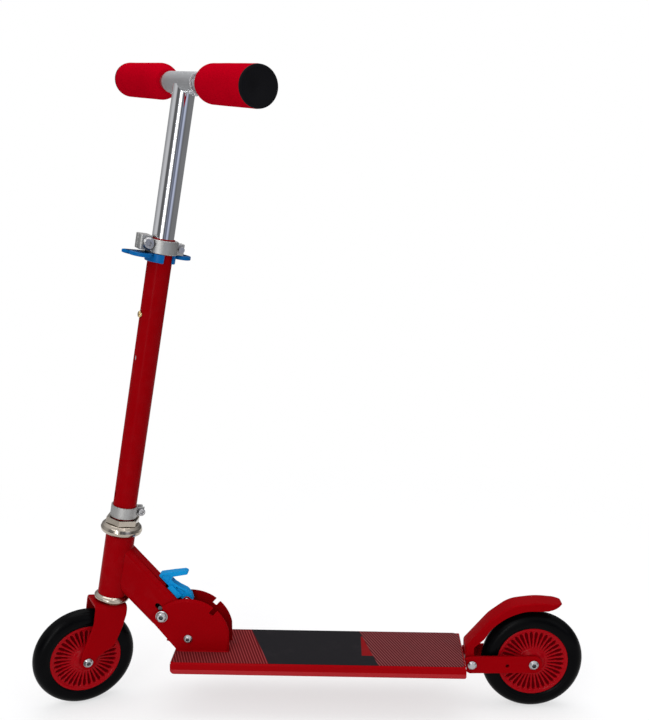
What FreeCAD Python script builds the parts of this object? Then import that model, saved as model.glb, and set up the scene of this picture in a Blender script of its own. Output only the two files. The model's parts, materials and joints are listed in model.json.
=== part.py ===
import FreeCAD, Part
import math
import os
import re
import Sketcher
from FreeCAD import Placement, Rotation, Vector

# A folding kick scooter for a child, in millimetres.
# +X points to the rear wheel, -Y is the rider's left, +Z is up, and the floor is Z = 0.
# The handlebar is turned to the rider's left by the angle "steer", as the scooter stands.

SIZES = {
    # wheels
    "wheel_radius": 62.5,
    "tyre_width": 24,
    "tyre_inner": 43.75,
    "rear_axle_x": 275,
    "axle_radius": 4,
    "bearing_radius": 11,
    # steering column
    "foot_x": -260.25,
    "lean": 10,
    "steer": 30,
    "trail": 25,
    "crown_top": 75,
    "fork_inner": 16.5,
    "fork_outer": 20,
    "head_low": 84,
    "head_high": 162,
    "head_radius": 17.5,
    "stem_radius": 14,
    "stem_bore": 12.56,
    "stem_top": 522.3,
    "riser_radius": 12.5,
    "riser_bore": 11,
    "riser_low": 345,
    "bar_height": 693.2,
    "button_height": 433,
    "lower_hole": 382,
    # handlebar
    "sleeve_radius": 11.8,
    "sleeve_half": 45,
    "handle_radius": 9.45,
    "handle_bore": 7.5,
    "left_grip_start": 67,
    "right_grip_start": 58,
    "grip_radius": 20.5,
    "grip_end": 196,
    "handle_button": 36,
    # deck
    "deck_front": -168,
    "deck_rear": 189.5,
    "deck_half": 49,
    "deck_low": 57.2,
    "deck_top": 71.8,
    "tape_top": 72.5,
    # folding bracket
    "pivot_x": -150.5,
    "pivot_z": 88.8,
    "pivot_radius": 4,
    "plate_inner": 14.5,
    "plate_outer": 17.5,
    "plate_radius": 51.5,
    "down_angle": 131.5,
    "down_half_width": 14,
    "down_half_depth": 23.5,
    "down_wall": 2,
    "down_start": 15,
    "down_corner": 9,
    "fold": 83,
    "pin_radius": 2.75,
    "pin_reach": 51,
    "pin_travel": 4.5,
    "stop_reach": 42.8,
    "stop_angle": 137.4,
    "stop_radius": 3,
    "lever_along": 36,
    "lever_out": 29.5,
    "lever_half": 5.5,
    "opening_half": 8.5,
    # rear arms and brake
    "arm_inner": 15.5,
    "arm_outer": 19.5,
    "hinge_x": 199.4,
    "hinge_z": 60.8,
    "hinge_radius": 3,
    "fender_half": 14.6,
    "fender_inner_half": 12.7,
    "fender_edge_radius": 69,
}

os.makedirs("parts", exist_ok=True)
doc = FreeCAD.newDocument("KickScooter")
sheet = doc.addObject("Spreadsheet::Sheet", "Sizes")
for row, (alias, number) in enumerate(SIZES.items(), start=1):
    sheet.set(f"A{row}", alias)
    sheet.set(f"B{row}", str(number))
    sheet.setAlias(f"B{row}", alias)
doc.recompute()

FAR = 1000
SIDEWAYS = Rotation(Vector(1, 0, 0), 90)      # turns +Z to -Y, the rider's left
pieces = {}


def size(alias):
    return float(sheet.get(alias))


def linked(text):
    """The expression with each size's name pointing at its cell."""
    return re.sub(r"[a-z][a-z_]+", lambda word: "Sizes." + word.group(), str(text))


def spot(x, y, z, rotation=Rotation()):
    return Placement(Vector(x, y, z), rotation)


def about(axis, angle):
    return Rotation(Vector(*axis), angle)


def polar(radius, angle, centre=(0, 0)):
    turn = math.radians(angle)
    return centre[0] + radius * math.cos(turn), centre[1] + radius * math.sin(turn)


# ---- outlines: each function returns one that draws in a sketch ----


def loop(*corners):
    """Straight lines through corners whose coordinates are numbers or expressions."""
    def draw(sketch):
        first = sketch.GeometryCount
        count = len(corners)
        for index in range(count):
            start = Vector(index, index * index, 0)
            end = Vector(index + 1, (index + 1) ** 2, 0)
            sketch.addGeometry(Part.LineSegment(start, end), False)
        for index, corner in enumerate(corners):
            line = first + index
            following = first + (index + 1) % count
            sketch.addConstraint(Sketcher.Constraint("Coincident", line, 2, following, 1))
            for kind, coordinate in zip(("DistanceX", "DistanceY"), corner):
                row = sketch.addConstraint(Sketcher.Constraint(kind, -1, 1, line, 1, 1.0))
                sketch.setExpression(f"Constraints[{row}]", linked(coordinate))
    return draw


def circle(across, up, radius):
    """A circle; its centre and radius are numbers or expressions."""
    def draw(sketch):
        curve = sketch.addGeometry(Part.Circle(Vector(1, 1, 0), Vector(0, 0, 1), 1.0), False)
        constraints = (
            (Sketcher.Constraint("DistanceX", -1, 1, curve, 3, 1.0), across),
            (Sketcher.Constraint("DistanceY", -1, 1, curve, 3, 1.0), up),
            (Sketcher.Constraint("Radius", curve, 1.0), radius),
        )
        for constraint, amount in constraints:
            row = sketch.addConstraint(constraint)
            sketch.setExpression(f"Constraints[{row}]", linked(amount))
    return draw


def both(*outlines):
    def draw(sketch):
        for outline in outlines:
            outline(sketch)
    return draw


def ring(across, up, outer, inner):
    return both(circle(across, up, outer), circle(across, up, inner))


def box(left, low, right, high):
    return loop((left, low), (right, low), (right, high), (left, high))


def rounded(*corners):
    """Lines through numeric corners (x, y, radius), each corner rounded to its radius."""
    def draw(sketch):
        count = len(corners)
        curves = []
        ends = []
        for index in range(count):
            here = Vector(corners[index][0], corners[index][1], 0)
            radius = corners[index][2] if len(corners[index]) > 2 else 0
            before = Vector(*corners[index - 1][:2], 0)
            after = Vector(*corners[(index + 1) % count][:2], 0)
            back = (before - here).normalize()
            ahead = (after - here).normalize()
            half = back.getAngle(ahead) / 2
            reach = radius / math.tan(half) if radius else 0
            start = here + back * reach
            end = here + ahead * reach
            middle = None
            if radius:
                bisector = (back + ahead).normalize()
                middle = here + bisector * (radius / math.sin(half) - radius)
            ends.append([start, middle, end])
        for index in range(count):
            following = ends[(index + 1) % count]
            here = Vector(corners[index][0], corners[index][1], 0)
            if (ends[index][2] - here).Length > (following[0] - here).Length + 0.01:
                raise ValueError(f"the radius of corner {index + 1} of {count} or the next is too large")
            # neighbouring arcs that meet share one point
            if ends[index][2].distanceToPoint(following[0]) < 0.02:
                following[0] = ends[index][2]
        for index, (start, middle, end) in enumerate(ends):
            if middle:
                curves.append(Part.Arc(start, middle, end))
            following = ends[(index + 1) % count][0]
            if end != following:
                curves.append(Part.LineSegment(end, following))
        for curve in curves:
            sketch.addGeometry(curve, False)
    return draw


def sector(centre, inner, outer, start, end):
    """A ring's sector, drawn with arcs."""
    def draw(sketch):
        middle = (start + end) / 2
        corners = [polar(outer, start, centre), polar(outer, end, centre),
                   polar(inner, end, centre), polar(inner, start, centre)]
        points = [Vector(*corner, 0) for corner in corners]
        crest = Vector(*polar(outer, middle, centre), 0)
        hollow = Vector(*polar(inner, middle, centre), 0)
        for curve in (Part.Arc(points[0], crest, points[1]),
                      Part.LineSegment(points[1], points[2]),
                      Part.Arc(points[2], hollow, points[3]),
                      Part.LineSegment(points[3], points[0])):
            sketch.addGeometry(curve, False)
    return draw


def hexagon(across_flats, centre=(0, 0)):
    reach = across_flats / math.sqrt(3)
    return loop(*[polar(reach, 60 * corner, centre) for corner in range(6)])


# ---- pieces ----


class Piece:
    """One sub-part: a PartDesign body whose features are added one by one."""

    def __init__(self, name, placement=Placement()):
        self.name = name
        self.body = doc.addObject("PartDesign::Body", name)
        self.body.Label = name
        self.body.Placement = placement
        pieces[name] = self.body

    def sketch(self, plane, level, outline):
        drawing = self.body.newObject("Sketcher::SketchObject", self.name + "_sketch")
        role = plane + "_Plane"
        support = [plane for plane in self.body.Origin.OriginFeatures if plane.Role == role]
        drawing.AttachmentSupport = [(support[0], "")]
        drawing.MapMode = "FlatFace"
        drawing.setExpression("AttachmentOffset.Base.z", linked(level))
        outline(drawing)
        return drawing

    def grow(self, kind, drawing, **expressions):
        feature = self.body.newObject("PartDesign::" + kind, self.name + "_" + kind.lower())
        feature.Profile = drawing
        for name, expression in expressions.items():
            feature.setExpression(name, linked(expression))
        doc.recompute()
        return feature

    def pad(self, plane, low, high, outline):
        """Material from low to high along the plane's axis."""
        level = f"-({high})" if plane == "XZ" else low
        drawing = self.sketch(plane, level, outline)
        self.grow("Pad", drawing, Length=f"({high}) - ({low})")
        return self

    def cut(self, plane, low, high, outline):
        """A pocket from low to high along the plane's axis."""
        before = self.body.Shape.Volume
        level = f"-({low})" if plane == "XZ" else high
        drawing = self.sketch(plane, level, outline)
        self.grow("Pocket", drawing, Length=f"({high}) - ({low})")
        if self.body.Shape.Volume > before - 1e-6:
            raise RuntimeError(f"a pocket in {self.name} removes nothing")
        return self

    def turn(self, outline):
        """A solid of revolution about the piece's own Z axis."""
        drawing = self.sketch("XZ", 0, outline)
        feature = self.grow("Revolution", drawing)
        feature.ReferenceAxis = (drawing, ["V_Axis"])
        feature.Angle = 360
        doc.recompute()
        return self

    def groove(self, plane, outline, start, end):
        """A cut turned about the line from start to end, drawn in the same sketch."""
        before = self.body.Shape.Volume
        drawing = self.sketch(plane, 0, outline)
        drawing.addGeometry(Part.LineSegment(Vector(*start, 0), Vector(*end, 0)), True)
        feature = self.grow("Groove", drawing)
        feature.ReferenceAxis = (drawing, ["Axis0"])
        feature.Angle = 360
        doc.recompute()
        if self.body.Shape.Volume > before - 1e-6:
            raise RuntimeError(f"a groove in {self.name} removes nothing")
        return self


# ---- frames ----

steer = math.radians(size("steer"))
lean = math.radians(size("lean"))
axle_tilt = math.sin(steer) * math.sin(lean)
crown_radius = size("tyre_width") / 2
centre_height = (size("wheel_radius") - crown_radius) * math.sqrt(1 - axle_tilt ** 2) + crown_radius
foot_z = centre_height - size("trail") * math.sin(lean) * math.cos(steer)
head_frame = spot(size("foot_x"), 0, foot_z, about((0, 1, 0), size("lean")))
steering_frame = head_frame * spot(0, 0, 0, about((0, 0, 1), size("steer")))
front_wheel_frame = steering_frame * spot(-size("trail"), 0, 0, SIDEWAYS)
rear_wheel_frame = spot(size("rear_axle_x"), 0, size("wheel_radius"), SIDEWAYS)
pivot_frame = spot(size("pivot_x"), 0, size("pivot_z"))
down_frame = pivot_frame * spot(0, 0, 0, about((0, 1, 0), -size("down_angle")))
# in down_frame +X runs up the down tube and -Z points out of its upper, rear side


def column(height, rotation=Rotation()):
    """A place on the steering axis, at a height above its foot."""
    return steering_frame * spot(0, 0, height, rotation)


# ---- repeated hardware, along each piece's own Z axis, with the head or face up ----


def bolt(name, placement, shank, length, head, head_height, socket=0):
    top = head_height
    edge = head * 0.62
    piece = Piece(name, placement)
    piece.turn(loop((0, f"-({length})"), (shank, f"-({length})"), (shank, 0), (head, 0),
                    (head, top * 0.35), (edge, top), (0, top)))
    if socket:
        piece.cut("XY", top * 0.3, top + 1, hexagon(socket))
    return piece


def nut(name, placement, across_flats, height, bore):
    return Piece(name, placement).pad("XY", 0, height, both(hexagon(across_flats), circle(0, 0, bore)))


def bearings(name, placement, inner_face):
    piece = Piece(name, placement)
    for low in (inner_face, -inner_face - 7):
        piece.pad("XY", low, low + 7, ring(0, 0, "bearing_radius", "axle_radius + 0.05"))
    return piece


def spacers(name, placement, low, high):
    piece = Piece(name, placement)
    piece.pad("XY", low, high, ring(0, 0, 6, "axle_radius + 0.02"))
    piece.pad("XY", f"-({high})", f"-({low})", ring(0, 0, 6, "axle_radius + 0.02"))
    return piece


def wheel(prefix, placement):
    """Plastic hub with a dished web, and a rubber tyre with a round crown."""
    hub = Piece(prefix + "_wheel_hub", placement)
    inner = "tyre_inner"
    profile = loop((7, -4), ("bearing_radius", -4), ("bearing_radius", -11.3), (13.5, -11.3),
                   (14.5, -6), (f"{inner} - 4", -5), (f"{inner} - 3.6", -9.9), (inner, -9.9),
                   (inner, 9.9), (f"{inner} - 3.6", 9.9), (f"{inner} - 4", 5), (14.5, 6),
                   (13.5, 11.3), ("bearing_radius", 11.3), ("bearing_radius", 4), (7, 4))
    hub.turn(profile)

    def section(sketch):
        inner_radius = size("tyre_inner")
        crown_centre = size("wheel_radius") - crown_radius
        half = math.sqrt(crown_radius ** 2 - (crown_centre - inner_radius) ** 2)
        low = Vector(inner_radius, -half, 0)
        high = Vector(inner_radius, half, 0)
        crest = Vector(crown_centre + crown_radius, 0, 0)
        sketch.addGeometry(Part.Arc(low, crest, high), False)
        sketch.addGeometry(Part.LineSegment(high, low), False)

    Piece(prefix + "_tyre", placement).turn(section)


# ---- deck ----


def build_deck():
    deck = Piece("deck")
    half, low, top = size("deck_half"), size("deck_low"), size("deck_top")
    under_top = top - 2.8
    inside_wall = half - 2.6
    lip, lip_top = half - 6, low + 2
    rib_low = low + 0.8
    right = [(20, under_top), (20, rib_low), (22.5, rib_low), (22.5, under_top),
             (inside_wall, under_top), (inside_wall, lip_top), (lip, lip_top), (lip, low),
             (half, low, 1), (half, low + 5), (half - 0.7, low + 5.7), (half - 0.7, top - 1.5),
             (half - 2.2, top)]
    left = [(-across, *rest) for across, *rest in reversed(right)]
    deck.pad("YZ", "deck_front", "deck_rear", rounded(*right, *left))
    # the lower corners are rounded off at both ends
    for end, inward, corner in ((size("deck_front"), 1, 6), (size("deck_rear"), -1, 3)):
        along = end + inward * (corner + 1)
        beyond = end - inward
        deck.cut("XZ", -FAR, FAR, rounded(
            (beyond, low - 1), (along, low - 1), (along, low), (end, low, corner),
            (end, low + corner + 1), (beyond, low + corner + 1)))
    tape = Piece("deck_grip_tape")
    front, rear = size("deck_front") + 1.5, size("deck_rear") - 2
    half -= 2.4
    tape.pad("XY", "deck_top", "tape_top", rounded(
        (front, -half, 5), (rear, -half, 5), (rear, half, 8), (front, half, 5)))
    bracket_rear = "pivot_x + 56"
    tape.cut("XY", "deck_top - 1", "tape_top + 1", box("deck_front - 5", "-plate_outer - 1",
                                                       bracket_rear, "plate_outer + 1"))


# ---- folding bracket on the deck ----


def bracket_plate(name, side):
    """One upright plate about the pivot; side is -1 for the left one."""
    radius = size("plate_radius")
    floor = size("deck_top") - size("pivot_z")

    def outline(sketch):
        front = Vector(*polar(radius, 152), 0)
        crest = Vector(*polar(radius, 81.5), 0)
        rear = Vector(*polar(radius, 11), 0)
        foot_rear = Vector(50.4, floor, 0)
        foot_front = Vector(-12.8, floor, 0)
        for curve in (Part.Arc(front, crest, rear), Part.LineSegment(rear, foot_rear),
                      Part.LineSegment(foot_rear, foot_front), Part.LineSegment(foot_front, front)):
            sketch.addGeometry(curve, False)

    plate = Piece(name, pivot_frame)
    if side < 0:
        plate.pad("XZ", "-plate_outer", "-plate_inner", outline)
    else:
        plate.pad("XZ", "plate_inner", "plate_outer", outline)
    plate.cut("XZ", -FAR, FAR, circle(0, 0, "pivot_radius + 0.03"))
    stop = polar(size("stop_reach"), size("stop_angle"))
    plate.cut("XZ", -FAR, FAR, circle(*stop, "stop_radius + 0.03"))
    for angle, bottom in ((size("down_angle"), size("pin_reach") - 3.1),
                          (size("down_angle") - size("fold"), 43)):
        half_width = size("pin_radius") + 0.25
        across = Vector(*polar(half_width, angle + 90), 0)
        inner = Vector(*polar(bottom, angle), 0)
        outer = Vector(*polar(radius + 6, angle), 0)
        corners = [inner + across, inner - across, outer - across, outer + across]
        plate.cut("XZ", -FAR, FAR, rounded(*[(corner.x, corner.y) for corner in corners]))
    # the outer edge is bevelled, so that the front wheel clears it when folded and turned round
    face = side * size("plate_outer")
    beyond = face + side
    shoulder = face - 2 * side
    plate.groove("YZ", loop((face, radius - 2.8), (shoulder, radius), (shoulder, 60), (beyond, 60),
                            (beyond, radius - 2.8)), (-20, 0), (20, 0))


def build_bracket():
    bracket_plate("bracket_plate_left", -1)
    bracket_plate("bracket_plate_right", 1)
    base = Piece("bracket_base")
    base.pad("XY", "deck_top", "deck_top + 2.4", box("pivot_x - 10", "-plate_inner",
                                                     "pivot_x + 43", "plate_inner"))
    side = spot(0, -size("plate_outer"), 0, SIDEWAYS)
    bolt("pivot_bolt", pivot_frame * side, "pivot_radius", "2 * plate_outer + 6", 5.4, 3.4, 4)
    stop_x, stop_z = polar(size("stop_reach"), size("stop_angle"))
    stop = pivot_frame * spot(stop_x, 0, stop_z)
    head = Piece("stop_bolt", stop * side)
    head.turn(loop((0, "-2 * plate_outer - 5"), ("stop_radius", "-2 * plate_outer - 5"),
                   ("stop_radius", 0), (7.4, 0), (7.4, 1.2), (6.3, 1.4), (6.3, 3.6),
                   (4.6, 5), (0, 5)))
    head.cut("XY", 2.4, 6, hexagon(5))
    far = spot(0, size("plate_outer"), 0, about((1, 0, 0), -90))
    nuts = Piece("bracket_nuts", pivot_frame * far)
    nuts.pad("XY", 0, 5, both(hexagon(13), circle(0, 0, "pivot_radius")))
    centre = (stop_x, -stop_z)
    nuts.pad("XY", 0, 4, both(hexagon(10, centre), circle(*centre, "stop_radius")))


# ---- down tube, head tube and headset ----


def head_point(height):
    """A point of the steering axis in the down tube's frame, as (X, Z)."""
    point = down_frame.inverse().multVec(head_frame.multVec(Vector(0, 0, height)))
    return point.x, point.z


def build_down_tube():
    half_width = size("down_half_width")
    half_depth = size("down_half_depth")
    inner_width = half_width - size("down_wall")
    inner_depth = half_depth - size("down_wall")
    corner = size("down_corner")
    tube = Piece("down_tube", down_frame)
    tube.pad("YZ", "down_start", 190, rounded(
        (-half_width, -half_depth, corner), (half_width, -half_depth, corner),
        (half_width, half_depth, corner), (-half_width, half_depth, corner)))
    corner -= size("down_wall")
    tube.cut("YZ", "down_start - 1", 200, rounded(
        (-inner_width, -inner_depth, corner), (inner_width, -inner_depth, corner),
        (inner_width, inner_depth, corner), (-inner_width, inner_depth, corner)))
    low, high = head_point(20), head_point(250)
    tube.cut("XZ", -FAR, FAR, loop(low, (low[0] + 200, low[1]), (high[0] + 200, high[1]), high))
    axis = Vector(high[0] - low[0], high[1] - low[1], 0).normalize()
    side = Vector(-axis.y, axis.x, 0) * size("head_radius")
    if side.x > 0:
        side = -side
    near_low, near_high = (low[0] + side.x, low[1] + side.y), (high[0] + side.x, high[1] + side.y)
    tube.groove("XZ", loop(low, high, near_high, near_low), low, high)

    opening = "opening_half"
    tube.cut("XY", -FAR, "-down_half_depth + 6", box(41, f"-{opening}", 81, opening))
    reach = size("pin_reach")
    slot_half = size("pin_radius") + 0.3
    slot_end = reach + size("pin_travel") + slot_half
    tube.cut("XZ", -FAR, FAR, rounded(
        (reach - slot_half, -slot_half, 3), (slot_end, -slot_half, 3),
        (slot_end, slot_half, 3), (reach - slot_half, slot_half, 3)))
    first = size("stop_angle") - size("down_angle")
    stop = size("stop_reach")
    clear = size("stop_radius") + 0.4
    tube.cut("XZ", -FAR, FAR, sector((0, 0), stop - clear, stop + clear, first, 50))
    tube.cut("XZ", -FAR, FAR, circle(*polar(stop, first), clear))


def build_knuckle():
    nose = 13.9
    depth = size("down_half_depth")
    knuckle = Piece("hinge_knuckle", down_frame)
    start = size("down_start")
    # the sides run from the tube's end straight to the round nose
    tangent = math.atan2(depth, start) + math.acos(nose / math.hypot(start, depth))
    corner = nose * (1 + math.cos(tangent)) / math.sin(tangent)
    knuckle.pad("XZ", "-down_half_width", "down_half_width", rounded(
        (start, -depth), (start, depth), (-nose, corner, nose), (-nose, -corner, nose)))
    knuckle.pad("XZ", "-down_half_width + down_wall + 0.05", "down_half_width - down_wall - 0.05",
                box(start - 1, -14.4, 32, 14.4))
    knuckle.cut("XZ", -FAR, FAR, circle(0, 0, "pivot_radius + 0.05"))


def build_lever():
    along, out = size("lever_along"), size("lever_out")
    lever = Piece("latch_lever", down_frame)
    # corners are (along the tube, out of its top face, corner radius)
    grip = [(81, 24.4, 1), (82.5, 27, 3), (73, 41.8, 30), (65.4, 53, 3), (61.2, 54.6, 2),
            (60, 51.8, 1.8), (69.6, 35.8, 2.2), (67.6, 32.4, 1.6), (62, 32.4, 3), (54.4, 34.4, 8),
            (45, 38, 9), (36.6, 37.2, 6), (29.8, 33.6, 3), (29.8, 25.6, 3), (44, 25.6), (45, 24.4)]
    lever.pad("XZ", "-lever_half", "lever_half", rounded(*[(x, -z, r[0] if r else 0) for x, z, *r in grip]))
    arms = [(44.5, 29), (46.4, 8), (46.4, -9.8, 2), (55.8, -9.8, 3), (64, 26), (63, 29)]
    lever.pad("XZ", "-opening_half + 0.5", "opening_half - 0.5",
              rounded(*[(x, -z, r[0] if r else 0) for x, z, *r in arms]))
    lever.cut("XZ", -4.5, 4.5, box(40, -24, 66, 12))
    lever.cut("XZ", -FAR, FAR, circle("lever_along", "-lever_out", 2.05))
    lever.cut("XZ", -4.2, 4.2, circle("lever_along", "-lever_out", 4.6))
    half = size("pin_radius") + 0.45
    reach = size("pin_reach")
    lever.cut("XZ", -FAR, FAR, rounded((reach - half, -half, 3.1), (reach + half, -half, 3.1),
                                       (reach + half, 5.45 + half, 3.1), (reach - half, 5.45 + half, 3.1)))

    mount = Piece("lever_bracket", down_frame)
    top = size("down_half_depth")
    mount.pad("XZ", -7.4, 7.4, rounded(
        (29, -top), (40.5, -top), (40.5, -out - 4.4, 4.4), (31.6, -out - 4.4, 4.4), (29, -26)))
    mount.cut("XZ", -5.9, 5.9, box(20, -top - 30, 50, -top - 1.5))
    mount.cut("XZ", -FAR, FAR, circle("lever_along", "-lever_out", 2))

    bolt("lever_pin", down_frame * spot(along, -7.4, -out, SIDEWAYS), 2, 14.8, 3, 0.7)
    rod = Piece("lock_pin", down_frame * spot(reach, 0, 0, SIDEWAYS))
    rod.pad("XY", "-plate_inner + 0.3", "plate_inner - 0.3", circle(0, 0, "pin_radius"))

    coil = Part.makeHelix(1.15, 6.9, 3.3)
    wire = Part.Wire([Part.makeCircle(0.5, Vector(3.3, 0, 0), Vector(0, 1, 0.055))])
    spring = doc.addObject("Part::Feature", "latch_spring")
    spring.Label = "latch_spring"
    spring.Shape = Part.Wire(coil.Edges).makePipeShell([wire], True, True)
    spring.Placement = down_frame * spot(along, 3.45, -out, SIDEWAYS)
    pieces["latch_spring"] = spring


def build_head():
    head = Piece("head_tube", head_frame)
    head.pad("XY", "head_low", "head_high", ring(0, 0, "head_radius", "head_radius - 2.5"))
    race = Piece("headset_lower_cup", head_frame)
    race.turn(rounded((14.6, 76.4), (19.5, 76.4, 1.5), (21.2, 78.5, 2), (21.2, 81, 2),
                      (19, 83, 1), (17.6, 84), (14.6, 84)))
    cup = Piece("headset_upper_cup", head_frame)
    cup.turn(rounded((14.6, 162), (17.6, 162), (19.5, 163.5, 1.5), (24, 166.5, 2),
                     (25, 170, 3), (23.6, 174, 3), (20.5, 177, 1.5), (14.6, 177)))


# ---- fork, steering tube and clamps ----


def build_fork():
    inner, outer = size("fork_inner"), size("fork_outer")
    top = size("crown_top")
    thick = outer - inner
    fork = Piece("fork", steering_frame)
    fork.pad("YZ", -80, 60, rounded(
        (-outer, -20), (-inner, -20), (-inner, top - thick - 1, 2.5), (inner, top - thick - 1, 2.5),
        (inner, -20), (outer, -20), (outer, top, 7), (-outer, top, 7)))
    axle = -size("trail")
    around = box(-120, -60, 100, 120)
    side = rounded((axle, 90), (axle + 1, 50, 30), (axle - 8, 14, 20), (axle - 10, -10, 9),
                   (axle + 10, -10, 10), (axle + 10, 5, 8), (6, 22, 14), (12.5, 46, 20), (15, 62), (15, 90))
    fork.cut("XZ", -FAR, FAR, both(around, side))
    fork.cut("XZ", -FAR, FAR, circle("-trail", 0, "axle_radius + 0.02"))
    race = Piece("crown_race", steering_frame)
    race.turn(loop(("stem_radius", 75), (17.5, 75), (16.4, 76.2), ("stem_radius", 76.2)))
    locknut = Piece("headset_nut", steering_frame)
    locknut.pad("XY", 177.3, 184.3, both(hexagon(36), circle(0, 0, "stem_radius")))

    stem = Piece("steering_tube", steering_frame)
    stem.pad("XY", "crown_top", "stem_top", ring(0, 0, "stem_radius", "stem_bore"))
    for height in ("button_height", "lower_hole"):
        stem.cut("YZ", -30, 0, circle(0, height, 4.3))
    stem.cut("YZ", -30, 0, rounded((-2, 209, 1.9), (2, 209, 1.9), (2, 217, 1.9), (-2, 217, 1.9)))
    for low, high in ((-30, 0), (0, 30)):
        stem.cut("YZ", low, high, rounded((-1, 476, 0.9), (1, 476, 0.9), (1, 530), (-1, 530)))

    axle_bolt = front_wheel_frame * spot(0, 0, outer)
    bolt("front_axle_bolt", axle_bolt, "axle_radius", "2 * fork_outer + 6", 6, 3.6, 5)
    far = front_wheel_frame * spot(0, 0, -outer, about((1, 0, 0), 180))
    nut("front_axle_nut", far, 13, 5.5, "axle_radius")
    spacers("front_axle_spacers", front_wheel_frame, 11.1, "fork_inner")


def build_lower_clamp():
    band = Piece("lower_clamp_band", steering_frame)
    band.pad("XY", 185.5, 199.5, ring(0, 0, 15.9, "stem_radius + 0.04"))
    band.cut("XY", 185, 200, box(10, -2, 20, 2))
    band.pad("XY", 187, 198, rounded((13.4, -5.5), (24, -5.5, 2.3), (24, -3), (14.2, -3)))
    band.pad("XY", 187, 198, rounded((13.4, 5.5), (14.2, 3), (24, 3), (24, 5.5, 2.3)))
    band.cut("XZ", -FAR, FAR, circle(19.5, 192.5, 2.5))
    screw = Piece("lower_clamp_screw", steering_frame * spot(19.5, -5.5, 192.5, SIDEWAYS))
    screw.turn(loop((0, -14), (2.4, -14), (2.4, 0), (4.4, 0), (4.4, 3.5), (3.8, 4.2), (0, 4.2)))
    screw.cut("XY", 2, 5, hexagon(4))
    screw.pad("XY", -14.5, -11.1, hexagon(7.5))


CLAMP_BOLTS = ((-19.5, 515.5), (21.4, 512.5))    # (X, height) of the front and the rear bolt
FRONT_EAR = 9.5                                  # half width of the front ears
REAR_EAR = 5.6


def clamp_half(name, side):
    """Half a split collar with an ear at each end; side is -1 for the left half."""
    half = Piece(name, steering_frame)
    half.pad("XY", 505.5, 521, ring(0, 0, 18.2, "stem_radius + 0.04"))
    half.pad("XY", 507.5, 524.5, rounded((-29, -FRONT_EAR, 2.5), (-15.2, -FRONT_EAR),
                                         (-15.2, FRONT_EAR), (-29, FRONT_EAR, 2.5)))
    half.pad("XY", 506, 519, rounded((15.2, -REAR_EAR), (25.5, -REAR_EAR, 2),
                                     (25.5, REAR_EAR, 2), (15.2, REAR_EAR)))
    gap = 0.9
    low, high = (-gap, 40) if side < 0 else (-40, gap)
    half.cut("XY", 500, 530, box(-40, low, 40, high))
    (front, front_up), (rear, rear_up) = CLAMP_BOLTS
    half.cut("XZ", -FAR, FAR, circle(front, front_up, 2.55))
    half.cut("XZ", -FAR, FAR, circle(rear, rear_up, 2.05))
    # a flat seat for the head or nut of the front bolt
    seat = (-40, -FRONT_EAR) if side < 0 else (FRONT_EAR, 40)
    half.cut("XZ", *seat, circle(front, front_up, 7.3))


def build_upper_clamp():
    clamp_half("upper_clamp_left", -1)
    clamp_half("upper_clamp_right", 1)
    (front, front_up), (rear, rear_up) = CLAMP_BOLTS
    across, drop = rear - front, rear_up - front_up
    inset = FRONT_EAR - REAR_EAR
    left = steering_frame * spot(front, -FRONT_EAR, front_up, SIDEWAYS)
    screws = Piece("upper_clamp_bolts", left)
    screws.turn(loop((0, -21), (2.5, -21), (2.5, 0), (7, 0), (7, 2.6), (5.4, 4.4), (0, 4.4)))
    screws.cut("XY", 2, 5, hexagon(5))
    screws.pad("XY", -17, 1 - inset, circle(across, drop, 2))
    screws.pad("XY", -inset, 2.6 - inset, circle(across, drop, 3.5))
    right = steering_frame * spot(front, FRONT_EAR, front_up, about((1, 0, 0), -90))
    nuts = Piece("upper_clamp_nuts", right)
    nuts.pad("XY", 0, 3.6, both(hexagon(8), circle(0, 0, 2.5)))
    nuts.pad("XY", -inset, 2.4 - inset, both(hexagon(6.4, (across, -drop)), circle(across, -drop, 2)))


def build_clip():
    """A snap-on collar with two open cradles that hold the pulled-out handles."""
    clip = Piece("handle_clip", column(495.4, about((0, 0, 1), 21)))
    clip.pad("XY", 0, 9.8, ring(0, 0, 17.4, "stem_radius + 0.05"))
    clip.cut("XY", -1, 11, rounded((-9, -25), (9, -25), (5, -5), (-5, -5)))
    inner, outer, reach = 9.8, 13, 28.5
    for side in (-1, 1):
        centre = (side * reach, 0)
        clip.pad("XY", 5.3, 9.8, sector(centre, inner, outer, 140, 400))
        for angle in (140, 40):
            root_in, root_out = polar(inner, angle, centre), polar(outer, angle, centre)
            lean_out = -4 if angle == 140 else 4
            tip = 9
            clip.pad("XY", 5.3, 9.8, loop(root_in, root_out, (root_out[0] + lean_out, root_out[1] + tip),
                                          (root_in[0] + lean_out, root_in[1] + tip)))
    return clip


# ---- handlebar ----


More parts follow.
